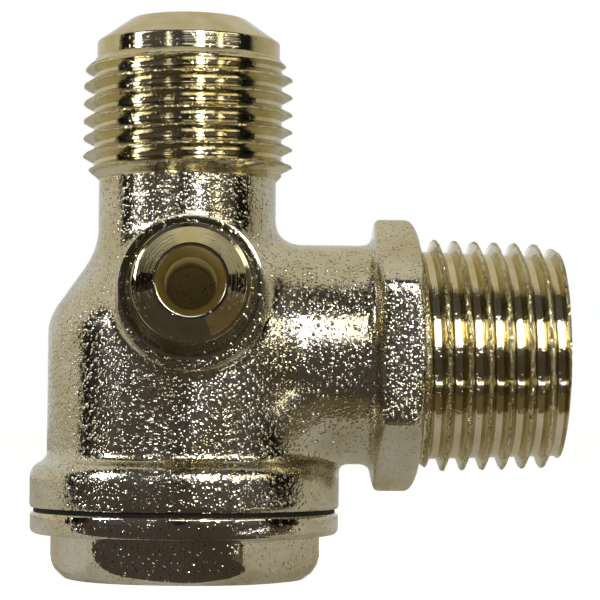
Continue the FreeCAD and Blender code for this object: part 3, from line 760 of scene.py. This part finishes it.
# Round the valve, in degrees from the camera's side, to the right: how bright it is there, and of what tint.
stops = [(-180, 1.1, far_tent), (-160, 1.0, far_tent), (-125, 1.0, tent), (-98, 1.0, tent),
         (-93, 0.02, room_grey), (-78, 0.012, room_grey), (-72, 0.06, room_grey), (-62, 0.1, room_grey),
         (-20, 0.08, room_grey), (-10, 0.06, room_grey), (-5, 0.012, room_grey), (1, 0.015, room_grey),
         (6, 0.08, room_grey), (50, 0.12, room_grey), (60, 0.07, room_grey), (66, 0.012, room_grey),
         (84, 0.012, room_grey), (90, 0.6, tent), (112, 0.85, tent), (160, 0.9, far_tent),
         (180, 1.1, far_tent)]
ramp = room.color_ramp
while len(ramp.elements) > 1:
    ramp.elements.remove(ramp.elements[-1])
for number, (degrees, level, tint) in enumerate(stops):
    element = ramp.elements[0] if number == 0 else ramp.elements.new(degrees / 360 + 0.5)
    element.position = degrees / 360 + 0.5
    element.color = tuple(level * part for part in tint) + (1,)
behind = add(tree, "ShaderNodeMath", {0: way.outputs["Y"], 1: 0.0}, operation="MAXIMUM")
reach = add(tree, "ShaderNodeMath", {0: behind.outputs[0], 1: 0.6, 2: way.outputs["Z"]},
            operation="MULTIPLY_ADD")
high = add(tree, "ShaderNodeMapRange", {"Value": reach.outputs[0], "From Min": 0.94, "From Max": 0.975,
                                        "To Min": 0.0, "To Max": 1.0})
sky = add(tree, "ShaderNodeMix", {0: high.outputs[0], 6: room.outputs["Color"], 7: tent + (1,)},
          data_type="RGBA")
seen = add(tree, "ShaderNodeLightPath")
shiny = add(tree, "ShaderNodeMath", {0: seen.outputs["Is Glossy Ray"],
                                     1: seen.outputs["Is Transmission Ray"]}, operation="MAXIMUM")
backdrop = add(tree, "ShaderNodeMapRange", {"Value": way.outputs["Y"], "From Min": 0.96, "From Max": 0.995,
                                            "To Min": 0.0, "To Max": 1.0})
mirrored = add(tree, "ShaderNodeMath", {0: shiny.outputs[0], 1: backdrop.outputs[0]}, operation="MULTIPLY")
plain = add(tree, "ShaderNodeMath", {0: seen.outputs["Is Camera Ray"], 1: mirrored.outputs[0]},
            operation="MAXIMUM")
colour = add(tree, "ShaderNodeMix", {0: plain.outputs[0], 6: sky.outputs[2], 7: (1, 1, 1, 1)},
             data_type="RGBA")
light = add(tree, "ShaderNodeBackground", {"Color": colour.outputs[2], "Strength": 1.0})
tree.links.new(light.outputs[0], output.inputs["Surface"])


valve_middle = Vector((0.006, 0, 0.025))


def lamp(name, azimuth, elevation, wide, tall, power, colour, distance=0.7):
    """A soft box seen from the valve at an azimuth from the camera's side and a height, and as wide and tall
    as the given angles, all in degrees. Power is its brightness, the same for any size and distance."""
    data = bpy.data.lights.new(name, "AREA")
    data.shape = "RECTANGLE"
    data.size = 2 * distance * math.tan(math.radians(wide / 2))
    data.size_y = 2 * distance * math.tan(math.radians(tall / 2))
    data.energy = power * data.size * data.size_y * math.pi
    data.color = srgb(colour)[:3]
    item = bpy.data.objects.new(name, data)
    bpy.context.scene.collection.objects.link(item)
    a, e = math.radians(azimuth), math.radians(elevation)
    spot = Vector((math.sin(a) * math.cos(e), -math.cos(a) * math.cos(e), math.sin(e)))
    item.location = spot * distance + valve_middle
    item.rotation_mode = "QUATERNION"
    item.rotation_quaternion = spot.to_track_quat("Z", "Y")
    item.visible_camera = False


lamp("window", 14, 21.5, 5, 26, 30.0, "F4F6FF")
lamp("near_blind", -1, 26, 12, 22, 2.4, "F4F6FF")
lamp("frame", 7.5, 26, 5, 22, 1.0, "FFF6E0")
lamp("blind", 22, 26, 20, 22, 3.5, "F4F6FF")
lamp("side_lamp", -66, 19, 6, 22, 20.0, "F4F6FF")
lamp("side_blind", -62, 26, 20, 18, 2.5, "F4F6FF")
lamp("shelf_lamp", -25, 15, 4, 12, 4.0, "FFF6EC")
lamp("far_lamp", 39, 13, 4, 14, 5.0, "FFF6E0")
lamp("far_blind", 52, 23, 24, 16, 2.5, "FFF6E0")

# The camera
# It stands in front of the valve at the height of the cap and looks very slightly up and to one side, with a
# long lens, as the photograph was taken.
yaw, pitch, roll = math.radians(2.63), math.radians(-2.77), math.radians(0.44)
distance, focal, aside, above = 212.7, 2344.0, -10.35, -4.84  # all in mm but focal, which is in pixels
turn = Matrix.Rotation(roll, 3, "Y") @ Matrix.Rotation(pitch, 3, "X") @ Matrix.Rotation(yaw, 3, "Z")
spot = turn.transposed() @ (Vector((0, -distance, 0)) - Vector((aside, 0, above))) + Vector((0, 0, TANK_AXIS))
lens = bpy.data.cameras.new("camera")
sensor_width, picture_width = 36.0, 600
lens.sensor_width = sensor_width
lens.lens = sensor_width * focal / picture_width
lens.clip_start, lens.clip_end = 0.01, 20.0
camera = bpy.data.objects.new("camera", lens)
bpy.context.scene.collection.objects.link(camera)
axes = Matrix((turn[0], turn[2], -turn[1])).transposed()
camera.matrix_world = Matrix.Translation(spot * MM) @ axes.to_4x4()
bpy.context.scene.camera = camera
bpy.context.scene.view_settings.view_transform = "Standard"
